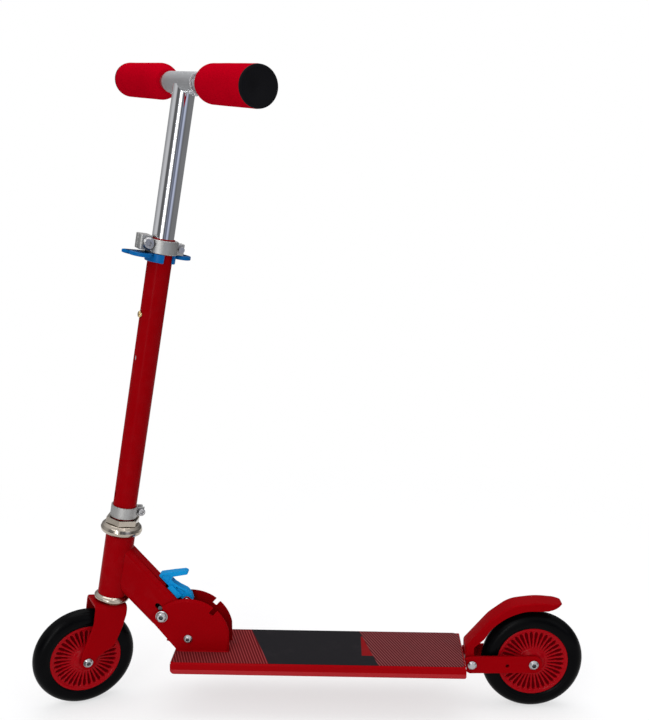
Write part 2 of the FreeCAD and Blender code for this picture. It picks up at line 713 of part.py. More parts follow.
def build_bar():
    riser = Piece("riser_tube", steering_frame)
    riser.pad("XY", "riser_low", "bar_height - 3", ring(0, 0, "riser_radius", "riser_bore"))
    riser.cut("XZ", -FAR, FAR, circle(0, "bar_height", "sleeve_radius"))
    riser.cut("YZ", -30, 0, circle(0, "button_height", 4.3))
    sleeve = Piece("bar_sleeve", column(size("bar_height"), SIDEWAYS))
    sleeve.pad("XY", "-sleeve_half", "sleeve_half", ring(0, 0, "sleeve_radius", "handle_radius + 0.05"))
    for side in (-1, 1):
        sleeve.cut("XZ", -30, 0, circle(0, side * size("handle_button"), 3.5))

    for name, side in (("left", 1), ("right", -1)):
        frame = column(size("bar_height"), about((1, 0, 0), 90 * side))
        tube = Piece(f"handle_tube_{name}", frame)
        tube.pad("XY", 1, "grip_end", ring(0, 0, "handle_radius", "handle_bore"))
        below = (-30, 0) if side > 0 else (0, 30)
        tube.cut("XZ", *below, circle(0, "handle_button", 3.5))
        start, radius, end = size(f"{name}_grip_start"), size("grip_radius"), size("grip_end")
        grip = Piece(f"foam_grip_{name}", frame)
        bore = size("handle_radius") + 0.05
        grip.turn(rounded((bore, start), (13, start, 3), (18.2, start + 6.5, 10),
                          (radius, start + 20, 18), (radius, end, 1.2), (bore, end)))
        cap = Piece(f"end_cap_{name}", frame)
        cap.turn(rounded((0, end - 12), (7.4, end - 12, 1), (7.4, end), (20.2, end),
                         (20.2, end + 2.2, 1.6), (0, end + 2.2)))
        sink = frame * spot(0, 0, size("handle_button"), about((1, 0, 0), 90 * side))
        button = snap_button(f"handle_button_{name}", sink, 3.2, 5.4, 13.4)
        button.pad("XY", 5, 6, box(-3, min(-5 * side, 22 * side), 3, max(-5 * side, 22 * side)))

    front = column(size("button_height"), about((0, 1, 0), -90))
    button = snap_button("height_button", front, 4, 9.3, 16.6)
    button.pad("XY", 9.2, 10.1, box(-25, -4, 6, 4))


def snap_button(name, placement, radius, low, high):
    """A round-topped button; the leaf spring under it is added by the caller."""
    button = Piece(name, placement)
    return button.turn(rounded((0, low), (radius, low), (radius, high, radius * 0.55), (0, high)))


# ---- rear arms, axle and brake ----


def build_rear():
    low_front, low_rear = 57.6, 49.5
    axle = (size("rear_axle_x"), size("wheel_radius"))
    end = 11
    outline = rounded((150, low_front), (186, low_front, 4), (196, low_rear, 6),
                      (axle[0], axle[1] - end), (axle[0] + end, axle[1] - end, end),
                      (axle[0] + end, axle[1] + end, end), (axle[0], axle[1] + end),
                      (197, 71.5, 4), (190, 68.6), (150, 68.6))
    for name, low, high in (("rear_arm_left", "-arm_outer", "-arm_inner"),
                            ("rear_arm_right", "arm_inner", "arm_outer")):
        arm = Piece(name)
        arm.pad("XZ", low, high, outline)
        arm.cut("XZ", -FAR, FAR, circle("rear_axle_x", "wheel_radius", "axle_radius + 0.02"))
        arm.cut("XZ", -FAR, FAR, circle("hinge_x", "hinge_z", "hinge_radius + 0.02"))
        arm.cut("XZ", -FAR, FAR, circle(242.8, 60.4, 2.1))
    web = Piece("rear_arm_web")
    web.pad("XY", 61, 65, box(152, "-arm_inner", 186, "arm_inner"))

    outer = size("arm_outer")
    bolt("rear_axle_bolt", rear_wheel_frame * spot(0, 0, outer), "axle_radius", "2 * arm_outer + 6",
         6, 3.6, 5)
    far = rear_wheel_frame * spot(0, 0, -outer, about((1, 0, 0), 180))
    nut("rear_axle_nut", far, 13, 5.5, "axle_radius")
    spacers("rear_axle_spacers", rear_wheel_frame, 11.1, "arm_inner")

    hinge = spot(size("hinge_x"), 0, size("hinge_z"), SIDEWAYS)
    bolt("brake_hinge_bolt", hinge * spot(0, 0, outer), "hinge_radius", "2 * arm_outer + 5", 5.5, 3, 0)
    nut("brake_hinge_nut", hinge * spot(0, 0, -outer, about((1, 0, 0), 180)), 10, 4, "hinge_radius")


def wheel_arc(radius, angles):
    """Corners that round off to an arc about the rear axle."""
    half_step = math.radians(abs(angles[1] - angles[0])) / 2
    centre = (size("rear_axle_x"), size("wheel_radius"))
    corners = [(*polar(radius / math.cos(half_step), angle, centre), radius) for angle in angles]
    for end in (0, -1):
        # the neighbours at the ends turn differently and leave less room
        corners[end] = (*corners[end][:2], radius * 0.65)
    return corners


def build_fender():
    across, up = size("hinge_x"), size("hinge_z")
    edge = size("fender_edge_radius")
    nose = 8.5
    back = [(220.2, 118, 50), (244.6, 137, 42), (277, 141.7, 90)]
    tail = [(310, 139.1, 3), (312, 134.6, 2.2), (301.5, 133.4, 5), (288, 130.6, 8)]
    leg = 201.6
    fender = Piece("brake_fender")
    fender.pad("XZ", "-fender_half", "fender_half", rounded(
        (across - nose, up - nose, nose), (across - nose, 82.6, 4), *back, *tail,
        *wheel_arc(edge, (100, 120, 140)), (leg, 83.4, 4), (leg, up + 10.7, 3),
        (across + nose, up + 6.2, 3), (across + nose, up - nose, nose)))
    wall = 2.5
    under_back = [(222.1, 116.4, 47.5), (245.5, 134.6, 39.5), (277, 139.1, 87.5)]
    fender.cut("XZ", "-fender_inner_half", "fender_inner_half", rounded(
        (across - nose + wall, 30), (across - nose + wall, 81.7, 2), *under_back, (300, 137.2, 3), (300, 30)))
    fender.cut("XZ", -FAR, FAR, circle("hinge_x", "hinge_z", "hinge_radius + 0.06"))
    # seen from above, the tip's corners are rounded
    tip, corner = 311.1, 11
    for side in (-1, 1):
        edge_y = side * (size("fender_half") + 0.05)
        fender.cut("XY", 120, 150, rounded(
            (tip - corner - 1, edge_y), (tip, edge_y, corner), (tip, side), (tip + 9, side),
            (tip + 9, side * 20), (tip - corner - 1, side * 20)))

    coil = Part.makeHelix(1.6, 16, 4.4)
    wire = Part.Wire([Part.makeCircle(0.6, Vector(4.4, 0, 0), Vector(0, 1, 0.058))])
    spring = doc.addObject("Part::Feature", "brake_spring")
    spring.Label = "brake_spring"
    spring.Shape = Part.Wire(coil.Edges).makePipeShell([wire], True, True)
    spring.Placement = spot(across, 8, up, SIDEWAYS)
    pieces["brake_spring"] = spring


build_deck()
build_bracket()
build_down_tube()
build_knuckle()
build_lever()
build_head()
build_fork()
build_lower_clamp()
build_upper_clamp()
build_clip()
build_bar()
build_rear()
build_fender()
for prefix, frame in (("front", front_wheel_frame), ("rear", rear_wheel_frame)):
    bearings(prefix + "_bearings", frame, 4)
    wheel(prefix, frame)

doc.recompute()
for thing in doc.Objects:
    if "Invalid" in thing.State or "Error" in thing.State:
        raise RuntimeError(f"{thing.Label} failed: {thing.State}")
for name, piece in pieces.items():
    shape = piece.Shape
    if shape.isNull() or not shape.isValid():
        raise RuntimeError(f"{name} has no valid shape")
for name, piece in pieces.items():
    piece.Shape.exportStep(f"parts/{name}.step")
print(len(pieces), "sub-parts")
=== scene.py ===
"""Looks of a folding kick scooter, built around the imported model."""

import json
import math

import bmesh
import bpy
from mathutils import Matrix, Vector, noise


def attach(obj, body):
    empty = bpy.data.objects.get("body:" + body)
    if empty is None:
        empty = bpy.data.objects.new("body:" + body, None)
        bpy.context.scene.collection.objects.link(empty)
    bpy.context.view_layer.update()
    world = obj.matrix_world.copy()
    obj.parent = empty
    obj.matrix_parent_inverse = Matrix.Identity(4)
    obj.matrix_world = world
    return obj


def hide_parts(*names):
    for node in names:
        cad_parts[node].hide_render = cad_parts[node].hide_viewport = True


MM = 0.001
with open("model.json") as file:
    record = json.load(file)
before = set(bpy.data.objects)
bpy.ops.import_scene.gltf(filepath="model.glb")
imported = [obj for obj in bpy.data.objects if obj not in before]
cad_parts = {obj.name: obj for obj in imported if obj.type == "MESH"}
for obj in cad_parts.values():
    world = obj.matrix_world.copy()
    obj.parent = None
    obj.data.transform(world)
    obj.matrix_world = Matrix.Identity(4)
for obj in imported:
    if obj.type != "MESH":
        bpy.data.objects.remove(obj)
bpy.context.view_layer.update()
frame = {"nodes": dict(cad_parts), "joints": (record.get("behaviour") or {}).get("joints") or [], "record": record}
joints = {joint["name"]: joint for joint in frame["joints"]}
bodies = frame["record"]["behaviour"]["bodies"]
body_of = {node: body for body, members in bodies.items() for node in members}


# ---- frames of the sloping assemblies; lengths in them are millimetres ----


def axes(origin, x, y):
    z = x.cross(y)
    return Matrix(((x.x, y.x, z.x, origin.x), (x.y, y.y, z.y, origin.y),
                   (x.z, y.z, z.z, origin.z), (0, 0, 0, 1))) @ Matrix.Scale(MM, 4)


def shift(x, y, z):
    return Matrix.Translation((x, y, z))


def turn(angle, axis):
    return Matrix.Rotation(math.radians(angle), 4, axis)


def joint_vector(name, key):
    return Vector(joints[name][key])


STEER_TO_FOOT = 0.12    # in metres, from the steering joint down its axis to the foot
WHEEL_LEAD = 25         # from the foot forward to the front axle
BAR_HEIGHT = 693.2      # from the foot up the axis to the handlebar
REARWARD = Vector((1, 0, 0))
SIDE = Vector((0, 1, 0))
steer_axis = joint_vector("steer", "axis").normalized()
steer_side = joint_vector("front_wheel_spin", "axis").normalized()
foot = joint_vector("steer", "pos_m") - STEER_TO_FOOT * steer_axis
STEERING = axes(foot, steer_side.cross(steer_axis).normalized(), steer_side)
DOWN = axes(joint_vector("fold", "pos_m"),
            joint_vector("lock_pin_slide", "axis").normalized(), SIDE)
FRONT_WHEEL = STEERING @ shift(-WHEEL_LEAD, 0, 0) @ turn(90, "X")
REAR_WHEEL = axes(joint_vector("rear_wheel_spin", "pos_m"), REARWARD, SIDE) @ turn(90, "X")
BAR = STEERING @ shift(0, 0, BAR_HEIGHT)
WORLD = Matrix.Scale(MM, 4)
IN_PLACE = Matrix.Identity(4)


# ---- materials ----


def linear(*channels):
    """Linear colour of a display colour given as 0 to 255."""
    return tuple(((channel / 255 + 0.055) / 1.055) ** 2.4 if channel > 10
                 else channel / 255 / 12.92 for channel in channels)


class Tree:
    """A node tree that is built one node at a time."""

    def __init__(self, tree):
        self.tree = tree

    def node(self, kind, inputs=(), **settings):
        made = self.tree.nodes.new(kind)
        for name, setting in settings.items():
            setattr(made, name, setting)
        for name, given in dict(inputs).items():
            if isinstance(given, bpy.types.NodeSocket):
                self.tree.links.new(given, made.inputs[name])
            else:
                made.inputs[name].default_value = given
        return made

    def remap(self, source, low, high, out_low=0.0, out_high=1.0):
        return self.node("ShaderNodeMapRange", {
            "Value": source, "From Min": low, "From Max": high,
            "To Min": out_low, "To Max": out_high}).outputs["Result"]

    def math(self, operation, a, b=0.0):
        return self.node("ShaderNodeMath", {0: a, 1: b}, operation=operation).outputs["Value"]

    def mix(self, amount, a, b):
        """Colour a where amount is 0 and colour b where it is 1."""
        made = self.node("ShaderNodeMix", data_type="RGBA")
        for index, given in ((0, amount), (6, a), (7, b)):
            if isinstance(given, bpy.types.NodeSocket):
                self.tree.links.new(given, made.inputs[index])
            else:
                made.inputs[index].default_value = given if index == 0 else (*given[:3], 1)
        return made.outputs[2]


class Surface(Tree):
    """A material built from nodes."""

    def __init__(self, name):
        self.material = bpy.data.materials.new(name)
        self.material.use_nodes = True
        super().__init__(self.material.node_tree)
        self.shader = self.tree.nodes["Principled BSDF"]
        self.place = self.node("ShaderNodeTexCoord").outputs["Object"]

    def noise(self, scale, detail=3.0, roughness=0.55, place=None):
        return self.node("ShaderNodeTexNoise", {
            "Vector": place or self.place, "Scale": scale, "Detail": detail,
            "Roughness": roughness}).outputs["Fac"]

    def stretched(self, scale):
        return self.node("ShaderNodeMapping", {
            "Vector": self.place, "Scale": scale}).outputs["Vector"]

    def bump(self, height, strength, distance, below=None):
        inputs = {"Height": height, "Strength": strength, "Distance": distance}
        if below:
            inputs["Normal"] = below
        return self.node("ShaderNodeBump", inputs).outputs["Normal"]

    def link(self, **sockets):
        for name, source in sockets.items():
            self.tree.links.new(source, self.shader.inputs[name.replace("_", " ")])

    def set(self, **settings):
        for name, setting in settings.items():
            self.shader.inputs[name.replace("_", " ")].default_value = setting

    def edges(self):
        """1 on sharp outer edges, broken up by noise."""
        pointed = self.node("ShaderNodeNewGeometry").outputs["Pointiness"]
        worn = self.remap(pointed, 0.53, 0.62)
        patches = self.remap(self.noise(90, 4), 0.42, 0.66)
        return self.math("MULTIPLY", worn, patches)


def dim(colour, factor):
    return tuple(channel * factor for channel in colour)


def coated(name, colour, rough, shine, grain=700.0, relief=0.04, wear=None):
    """Paint or plastic: slight colour patches, uneven gloss, fine surface grain and worn edges."""
    s = Surface(name)
    patches = s.noise(26, 4)
    shade = s.mix(patches, dim(colour, 0.93), dim(colour, 1.07))
    uneven = s.remap(s.noise(60, 4), 0.3, 0.7, rough * 0.8, rough * 1.25)
    if wear:
        shade = s.mix(s.edges(), shade, wear)
    s.link(Base_Color=shade, Roughness=uneven)
    s.set(Specular_IOR_Level=shine)
    fine = s.bump(s.noise(grain, 3), relief, 0.0004)
    s.link(Normal=s.bump(s.noise(70, 2), relief * 0.5, 0.002, fine))
    return s.material


def metal(name, colour, rough, streak=(1, 1, 1), relief=0.03, stain=None, spread=0.3):
    """Bare or plated metal: drawn streaks, small pits and a slight tarnish."""
    s = Surface(name)
    along = s.stretched(streak)
    shade = s.mix(s.noise(24, 4), dim(colour, 0.86), dim(colour, 1.06))
    if stain:
        shade = s.mix(s.remap(s.noise(55, 4, 0.6), 0.5, 0.75, 0, 0.6), shade, stain)
    s.set(Metallic=1.0)
    s.link(Base_Color=shade,
           Roughness=s.remap(s.noise(500, 3, place=along), 0.3, 0.7,
                             rough * (1 - spread), rough * (1 + spread)),
           Normal=s.bump(s.noise(1500, 2, place=along), relief, 0.0002))
    return s.material


def foam_material():
    s = Surface("foam")
    colour = linear(170, 1, 22)
    cells = s.node("ShaderNodeTexVoronoi",
                   {"Vector": s.place, "Scale": 1500.0}).outputs["Distance"]
    blotch = s.mix(s.noise(42, 4), dim(colour, 0.86), dim(colour, 1.12))
    s.link(Base_Color=s.mix(s.remap(cells, 0.05, 0.55), dim(colour, 0.72), blotch),
           Roughness=s.remap(s.noise(300), 0.3, 0.7, 0.82, 0.98),
           Normal=s.bump(cells, 0.35, 0.0004, s.bump(s.noise(160, 4), 0.25, 0.0012)))
    s.set(Specular_IOR_Level=0.0)
    return s.material


def tyre_material():
    s = Surface("tyre")
    colour = linear(4, 4, 5)
    dusty = s.remap(s.noise(45, 5, 0.6), 0.45, 0.75, 0, 0.5)
    s.link(Base_Color=s.mix(dusty, colour, linear(9, 9, 10)),
           Roughness=s.remap(s.noise(120, 4), 0.3, 0.7, 0.24, 0.34),
           Normal=s.bump(s.noise(1100, 3), 0.05, 0.0004))
    s.set(Specular_IOR_Level=0.035)
    return s.material


def wave(s, value, period, low, high):
    """Stripes from 0 to 1 across a value in metres, with a period in metres."""
    turns = s.math("MULTIPLY", value, 2 * math.pi / period)
    return s.remap(s.math("SINE", turns), low, high)


def tape_material():
    """Printed grip tape: striped ends, a black middle and a plain red corner."""
    s = Surface("grip_tape")
    axes_out = s.node("ShaderNodeSeparateXYZ", {"Vector": s.place})
    x, y = axes_out.outputs["X"], axes_out.outputs["Y"]

    def beyond(x_left, y_left, x_right, y_right):
        """1 to the rear of the line through the two points."""
        soft = 0.0003
        slope = (x_right - x_left) / (y_right - y_left)
        line = s.math("ADD", s.math("MULTIPLY", y, slope), x_left - slope * y_left)
        return s.remap(s.math("SUBTRACT", x, line), -soft, soft)

    front_slant = s.math("ADD", x, s.math("MULTIPLY", y, 0.28))
    rear_slant = s.math("ADD", x, s.math("MULTIPLY", y, 0.42))
    front = s.mix(wave(s, front_slant, 0.0034, 0.25, 0.85), linear(84, 1, 5),
                  linear(140, 52, 54))
    rear = s.mix(wave(s, rear_slant, 0.0036, -0.35, 0.45), linear(60, 2, 4),
                 linear(120, 58, 60))
    middle = beyond(-0.0784, 0.045, -0.0486, -0.048)
    back = beyond(0.0599, 0.047, 0.0837, -0.048)
    wedge = s.math("MULTIPLY", beyond(0.0621, 0.0304, 0.0634, -0.0221),
                   s.math("SUBTRACT", 1.0, back))
    upper = s.math("LESS_THAN", y, 0.031)
    lower = s.math("GREATER_THAN", y, -0.0221)
    wedge = s.math("MULTIPLY", wedge, s.math("MULTIPLY", upper, lower))
    colour = s.mix(middle, front, linear(22, 22, 25))
    colour = s.mix(wedge, colour, linear(120, 3, 8))
    colour = s.mix(back, colour, rear)
    grit = s.noise(2600, 2, 0.7)
    colour = s.mix(s.remap(grit, 0.35, 0.75, 0.0, 0.1), colour, linear(80, 66, 68))
    scuffed = s.remap(s.noise(38, 5, 0.65), 0.55, 0.8, 0, 0.14)
    colour = s.mix(scuffed, colour, linear(66, 58, 60))
    s.link(Base_Color=colour, Roughness=s.remap(grit, 0.3, 0.7, 0.72, 0.95),
           Normal=s.bump(grit, 0.5, 0.0005))
    s.set(Specular_IOR_Level=0.08)
    return s.material


MATERIALS = {
    "red_paint": coated("red_paint", linear(132, 1, 7), 0.24, 0.008, wear=linear(132, 30, 32)),
    "deck_metal": coated("deck_metal", linear(138, 4, 10), 0.24, 0.01),
    "grip_tape": tape_material(),
    "steel": metal("steel", (0.42, 0.42, 0.43), 0.3, relief=0.0, stain=(0.34, 0.33, 0.32),
                   spread=0.1),
    "chrome": metal("chrome", (0.82, 0.83, 0.85), 0.03, streak=(1, 1, 0.1), relief=0.0),
    "sleeve_metal": metal("sleeve_metal", (0.52, 0.53, 0.54), 0.4),
    "nickel": metal("nickel", (0.44, 0.39, 0.33), 0.17, stain=(0.3, 0.25, 0.2)),
    "brass": metal("brass", (0.7, 0.52, 0.25), 0.24, stain=(0.4, 0.28, 0.14)),
    "foam": foam_material(),
    "black_plastic": coated("black_plastic", linear(18, 18, 20), 0.42, 0.02, grain=900,
                            relief=0.1, wear=linear(46, 46, 48)),
    "red_plastic": coated("red_plastic", linear(142, 2, 12), 0.18, 0.05, grain=1200,
                          wear=linear(160, 30, 36)),
    "blue_plastic": coated("blue_plastic", linear(9, 130, 190), 0.26, 0.05, grain=1200,
                           wear=linear(60, 156, 206)),
    "tyre": tyre_material(),
}
# finishes for part of a piece, or for one piece of a shared slot
# painted shade: a darker copy of the blue plastic for the clip, which is of the same plastic
clip_blue_painted_shade = coated("clip_blue_painted_shade", linear(10, 90, 152), 0.26, 0.05, grain=1200,
                   wear=linear(50, 120, 180))
bare_aluminium = metal("bare_aluminium", (0.8, 0.81, 0.84), 0.3, streak=(1, 1, 0.15),
                       relief=0.1)
cast_metal = metal("cast_metal", (0.4, 0.4, 0.39), 0.5, relief=0.0, stain=(0.34, 0.34, 0.34),
                   spread=0.08)
satin_metal = metal("satin_metal", (0.58, 0.58, 0.59), 0.3, streak=(1, 0.1, 1), relief=0.0)
# dark steel for the lock pin, also used as painted shade in the bolts' sockets
dark_steel_and_painted_shade = metal("dark_steel_and_painted_shade", (0.09, 0.09, 0.1), 0.4, stain=(0.05, 0.05, 0.05))
# painted shade: a darker red standing for the shade in the hub's recesses
hub_recess_painted_shade = coated("hub_recess_painted_shade", linear(96, 1, 8), 0.4, 0.0, grain=1200)
# painted highlight: a lighter red for the line along the deck's ledge
deck_ledge_painted_highlight = coated("deck_ledge_painted_highlight", linear(196, 96, 96), 0.3, 0.02)
# painted reflection: a lighter red on the deck's foot, standing for the floor's reflection
deck_foot_painted_reflection = coated("deck_foot_painted_reflection", linear(152, 34, 38), 0.3, 0.02)

SLOTS = {
    "deck_metal": ["deck"],
    "grip_tape": ["deck_grip_tape"],
    "red_paint": ["bracket_base", "bracket_plate_left", "bracket_plate_right", "rear_arm_left",
                  "rear_arm_right", "rear_arm_web", "down_tube", "hinge_knuckle",
                  "lever_bracket", "head_tube", "fork", "steering_tube", "brake_fender"],
    "steel": ["pivot_bolt", "stop_bolt", "bracket_nuts", "rear_axle_bolt", "rear_axle_nut",
              "rear_axle_spacers", "brake_hinge_bolt", "brake_hinge_nut", "brake_spring",
              "lever_pin", "latch_spring", "lock_pin", "lower_clamp_band", "lower_clamp_screw",
              "upper_clamp_left", "upper_clamp_right", "upper_clamp_bolts", "upper_clamp_nuts",
              "front_axle_bolt", "front_axle_nut", "front_axle_spacers", "front_bearings",
              "rear_bearings", "handle_button_left", "handle_button_right"],
    "chrome": ["riser_tube", "handle_tube_left", "handle_tube_right"],
    "sleeve_metal": ["bar_sleeve"],
    "nickel": ["headset_lower_cup", "headset_upper_cup", "crown_race", "headset_nut"],
    "brass": ["height_button"],
    "foam": ["foam_grip_left", "foam_grip_right"],
    "black_plastic": ["end_cap_left", "end_cap_right"],
    "red_plastic": ["front_wheel_hub", "rear_wheel_hub"],
    "blue_plastic": ["latch_lever", "handle_clip"],
    "tyre": ["front_tyre", "rear_tyre"],
}
slot_of = {node: name for name, members in SLOTS.items() for node in members}
for node, thing in frame["nodes"].items():
    thing.data.materials.clear()
    thing.data.materials.append(MATERIALS[slot_of[node]])


# ---- outlines and meshes ----


TINY = 1e-6


def rounded(corners, steps=6):
    """Points of a closed outline whose corners (x, y, radius) are rounded off."""
    points = []
    for index, corner in enumerate(corners):
        here = Vector(corner[:2])
        radius = corner[2] if len(corner) > 2 else 0
        if not radius:
            points.append(here)
            continue
        back = (Vector(corners[index - 1][:2]) - here).normalized()
        ahead = (Vector(corners[(index + 1) % len(corners)][:2]) - here).normalized()
        half = back.angle(ahead) / 2
        centre = here + (back + ahead).normalized() * (radius / math.sin(half))
        start = here + back * (radius / math.tan(half)) - centre
        end = here + ahead * (radius / math.tan(half)) - centre
        first = math.atan2(start.y, start.x)
        sweep = (math.atan2(end.y, end.x) - first + math.pi) % (2 * math.pi) - math.pi
        for step in range(steps + 1):
            angle = first + sweep * step / steps
            points.append(centre + radius * Vector((math.cos(angle), math.sin(angle))))
    return points


def lathe(bm, profile, steps=96, height=None):
    """Surface of revolution about Z from a closed profile of (radius, z).

    height(radius, angle, z) gives what is added to a point's radius and z.
    """
    rings = []
    for radius, z in profile:
        if radius < TINY:
            rings.append([bm.verts.new((0, 0, z))] * steps)
            continue
        ring = []
        for step in range(steps):
            angle = 2 * math.pi * step / steps
            extra = height(radius, angle, z) if height else (0, 0)
            r = radius + extra[0]
            ring.append(bm.verts.new((r * math.cos(angle), r * math.sin(angle), z + extra[1])))
        rings.append(ring)
    for index, ring in enumerate(rings):
        following = rings[(index + 1) % len(rings)]
        for step in range(steps):
            after = (step + 1) % steps
            corners = []
            for vert in (ring[step], ring[after], following[after], following[step]):
                if vert not in corners:
                    corners.append(vert)
            if len(corners) > 2:
                bm.faces.new(corners)


def slab(bm, outline, low, high):
    """The outline in X and Y, from low to high in Z."""
    bottom = [bm.verts.new((x, y, low)) for x, y in outline]
    top = [bm.verts.new((x, y, high)) for x, y in outline]
    bm.faces.new(list(reversed(bottom)))
    bm.faces.new(top)
    for index in range(len(outline)):
        after = (index + 1) % len(outline)
        bm.faces.new((bottom[index], bottom[after], top[after], top[index]))


def bead(bm, path, radius):
    """A weld bead: a rippled tube along the points of a path."""
    ripple, pitch, sides = 0.12, 2.2, 10
    rings = []
    travelled = 0
    for index, point in enumerate(path):
        before = path[max(index - 1, 0)]
        after = path[min(index + 1, len(path) - 1)]
        ahead = (after - before).normalized()
        across = ahead.cross(Vector((0.3, 0.2, 1))).normalized()
        up = ahead.cross(across)
        travelled += (point - before).length
        wide = radius * (1 + ripple * math.sin(2 * math.pi * travelled / pitch))
        if index in (0, len(path) - 1):
            wide *= 0.3
        rings.append([bm.verts.new(point + wide * (math.cos(a) * across + math.sin(a) * up))
                      for a in (2 * math.pi * side / sides for side in range(sides))])
    for first, second in zip(rings, rings[1:]):
        for side in range(sides):
            after = (side + 1) % sides
            bm.faces.new((first[side], first[after], second[after], second[side]))
    bm.faces.new(rings[0])
    bm.faces.new(list(reversed(rings[-1])))


def line(start, end):
    """Points half a millimetre apart, for a bead."""
    start, end = Vector(start), Vector(end)
    count = max(2, round((end - start).length / 0.5))
    return [start.lerp(end, index / count) for index in range(count + 1)]


def absorb(bm, other):
    """Moves another mesh's faces into this one."""
    mesh = bpy.data.meshes.new("shape")
    other.to_mesh(mesh)
    other.free()
    bm.from_mesh(mesh)
    bpy.data.meshes.remove(mesh)


def carved(bm, cutters):
    """The mesh with the cutters' shapes taken out of it."""
    objects = []
    for source in (bm, *cutters):
        mesh = bpy.data.meshes.new("shape")
        bmesh.ops.recalc_face_normals(source, faces=source.faces)
        source.to_mesh(mesh)
        source.free()
        thing = bpy.data.objects.new("shape", mesh)
        bpy.context.scene.collection.objects.link(thing)
        objects.append(thing)
    blank = objects[0]
    for cutter in objects[1:]:
        modifier = blank.modifiers.new("cut", "BOOLEAN")
        modifier.operation = "DIFFERENCE"
        modifier.solver = "EXACT"
        modifier.object = cutter
    result = bmesh.new()
    result.from_object(blank, bpy.context.evaluated_depsgraph_get())
    for thing in objects:
        mesh = thing.data
        bpy.data.objects.remove(thing)
        bpy.data.meshes.remove(mesh)
    return result


def add(name, bm, place, nodes=(), slot=None, body=None, bevel=0.0, segments=2, angle=34,
        extra=()):
    """Makes a shown piece from a mesh, which place takes to the world, standing for CAD nodes.

    The extra finishes are material indices 1, 2 and so on, after the slot's own.
    """
    bm.transform(place)
    bmesh.ops.recalc_face_normals(bm, faces=bm.faces)
    mesh = bpy.data.meshes.new(name)
    bm.to_mesh(mesh)
    bm.free()
    piece = bpy.data.objects.new(name, mesh)
    bpy.context.scene.collection.objects.link(piece)
    slot = slot or slot_of[nodes[0]]
    for finish in (MATERIALS[slot], *extra):
        mesh.materials.append(finish)
    mesh.polygons.foreach_set("use_smooth", [True] * len(mesh.polygons))
    mesh.set_sharp_from_angle(angle=math.radians(angle))
    if bevel:
        modifier = piece.modifiers.new("edges", "BEVEL")
        modifier.width = bevel * MM
        modifier.segments = segments
        modifier.limit_method = "ANGLE"
        modifier.angle_limit = math.radians(angle)
        modifier.use_clamp_overlap = False
        modifier.harden_normals = True
    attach(piece, body or body_of[nodes[0]])
    if nodes:
        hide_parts(*nodes)
    return piece


def copied(node):
    """The CAD node's mesh with its flat faces made whole, in metres."""
    bm = bmesh.new()
    bm.from_mesh(frame["nodes"][node].data)
    bmesh.ops.remove_doubles(bm, verts=bm.verts, dist=2 * TINY)
    bmesh.ops.dissolve_limit(bm, angle_limit=math.radians(0.6), verts=bm.verts, edges=bm.edges)
    return bm


def soften(node, bevel, segments=2):
    """The CAD node's shape with its edges rounded over."""
    add("soft_" + node, copied(node), IN_PLACE, [node], bevel=bevel, segments=segments)


def refinished(node, finish, bevel, segments=2):
    """A softened piece with a finish of its own."""
    bm = copied(node)
    for face in bm.faces:
        face.material_index = 1
    add("soft_" + node, bm, IN_PLACE, [node], bevel=bevel, segments=segments, extra=[finish])


# ---- deck and its arms ----


TAPE_LOW, TAPE_TOP = 71.8, 72.5
# finishes of the deck, as material indices: bare cut ends, a painted highlight along the ledge and a painted
# reflection on the foot
CUT_END, LEDGE_HIGHLIGHT, FOOT_REFLECTION = 1, 2, 3


def build_deck():
    rim_above = 67      # the cut ends are rounded over from this height up
    side_from = 46.5    # the deck's sides begin this far out
    foot_below, ledge_below = 65.2, 66
    bm = copied("deck")
    rims = []
    for face in bm.faces:
        if abs(face.normal.x) > 0.999:
            face.material_index = CUT_END
            rims += [edge for edge in face.edges
                     if min(vert.co.z for vert in edge.verts) > rim_above * MM]
    bmesh.ops.bevel(bm, geom=rims, offset=0.9 * MM, segments=2, profile=0.5, affect="EDGES",
                    material=CUT_END)
    for face in bm.faces:
        where = face.calc_center_median() / MM
        if abs(where.y) > side_from and face.material_index == 0:
            # painted reflection on the low side faces, painted highlight on the ledge
            if where.z < foot_below and abs(face.normal.y) > 0.3:
                face.material_index = FOOT_REFLECTION
            elif where.z < ledge_below and face.normal.z > 0.3:
                face.material_index = LEDGE_HIGHLIGHT
    add("deck_profile", bm, IN_PLACE, ["deck"], extra=[bare_aluminium, deck_ledge_painted_highlight, deck_foot_painted_reflection])
    bm = copied("deck_grip_tape")
    # the tape reaches the bracket's feet from behind
    patch = bmesh.new()
    slab(patch, [(-99.8, -18.55), (-94.45, -18.55), (-94.45, 18.55), (-99.8, 18.55),
                 (-99.8, 14.2), (-107.2, 14.2), (-107.2, -14.2), (-99.8, -14.2)],
         TAPE_LOW, TAPE_TOP)
    patch.transform(WORLD)
    absorb(bm, patch)
    add("soft_deck_grip_tape", bm, IN_PLACE, ["deck_grip_tape"])
    for side in ("left", "right"):
        soften("bracket_plate_" + side, 0.6, 3)
        soften("rear_arm_" + side, 0.8, 3)
    soften("bracket_base", 0.5)
    soften("rear_arm_web", 0.5)
    bm = bmesh.new()
    for side in (-1, 1):
        bead(bm, line((-162.5, side * 18.1, TAPE_TOP), (-101, side * 18.1, TAPE_TOP)), 1.25)
        bead(bm, line((152, side * 15.7, 60.6), (186, side * 15.7, 60.6)), 1.1)
    add("frame_welds", bm, WORLD, slot="red_paint", body="deck_frame")


FINE_EDGE = 0.22


